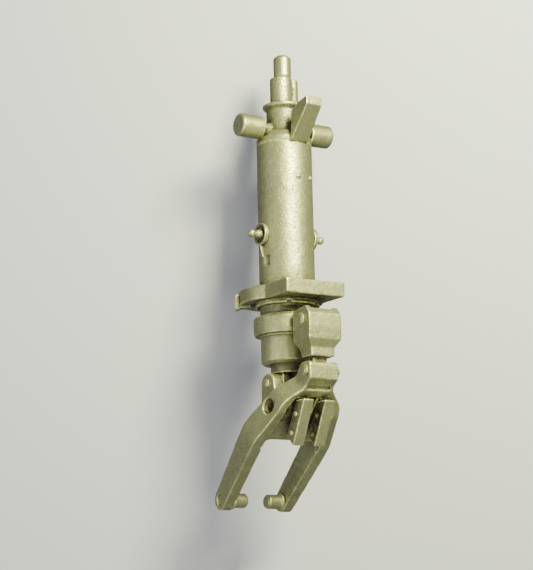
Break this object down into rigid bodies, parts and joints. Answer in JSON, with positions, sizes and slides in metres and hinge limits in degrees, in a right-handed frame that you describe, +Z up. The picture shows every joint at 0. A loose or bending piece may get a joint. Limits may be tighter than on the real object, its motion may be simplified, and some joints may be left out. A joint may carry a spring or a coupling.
{
  "type": "landing gear strut",
  "caption": "Nose landing gear strut with trunnions, steering collar, sliding piston, link and a forward-swept fork that carries a single wheel between two axle spigots.",
  "frame": {"origin": "where the trunnion axis crosses the axis of the strut", "axes": "+Z up the strut, +X along the trunnion axis to the right, -Y forward, the side of the link"},
  "size_m": [0.324, 0.443, 1.3776],
  "materials": {
    "casting": "bare cast metal, slightly grainy",
    "steel": "satin",
    "chrome_tube": "polished",
    "bearing_bronze": "machined",
    "seal": "matte"
  },
  "bodies": {
    "root": {"barrel": "casting", "head": "casting", "trunnion_left": "casting", "trunnion_right": "casting", "retraction_arm": "casting", "valve_body": "casting", "valve_side_port": "casting", "valve_stem": "steel", "stud_boss_left": "casting", "stud_boss_right": "casting", "ball_stud_left": "steel", "ball_stud_right": "steel", "grease_fittings": "steel", "flange_plate": "casting", "hook_bracket": "casting", "gland_nut": "casting", "gland_ring": "casting", "sleeve": "steel", "collar_retainer": "steel", "wiper_ring": "seal", "lower_bearing": "bearing_bronze", "orifice_tube": "steel", "orifice_plate": "steel"},
    "collar": {"steering_collar": "casting", "collar_bush": "bearing_bronze", "collar_lug_bushes": "bearing_bronze"},
    "link": {"link": "casting", "link_pin": "steel", "link_pin_nut": "steel", "knee_pin": "steel", "knee_pin_nut": "steel"},
    "piston": {"piston_tube": "chrome_tube", "piston_end": "casting", "piston_end_bush": "bearing_bronze", "metering_pin": "steel", "piston_head": "bearing_bronze", "piston_seal": "seal"},
    "fork": {"fork": "casting", "fork_pin": "steel", "fork_pin_nut": "steel", "yoke_plate_left": "casting", "yoke_plate_right": "casting", "yoke_bolts": "steel", "tow_bushes": "bearing_bronze", "axle_spigot_left": "steel", "axle_spigot_right": "steel"}
  },
  "joints": [
    {"name": "steer", "type": "hinge", "parent": "root", "child": "collar", "pos_m": [0, 0, -0.604], "axis": [0, 0, 1], "range_deg": [-40, 40]},
    {"name": "compress", "type": "slide", "parent": "collar", "child": "piston", "axis": [0, 0, 1], "range_m": [-0.045, 0.02], "stiffness_N_per_m": 20000, "springref_m": 0.01},
    {"name": "link_swing", "type": "hinge", "parent": "collar", "child": "link", "pos_m": [0, -0.154, -0.6135], "axis": [1, 0, 0], "range_deg": [-1.6, 3.5]},
    {"name": "fork_swing", "type": "hinge", "parent": "piston", "child": "fork", "pos_m": [0, 0, -0.783], "axis": [1, 0, 0], "range_deg": [-15.8, 7.1]}
  ],
  "couplings": [
    {"joint": "link_swing", "follows": "compress", "rad_per_m": -1.3},
    {"joint": "fork_swing", "follows": "compress", "rad_per_m": 6.1}
  ]
}
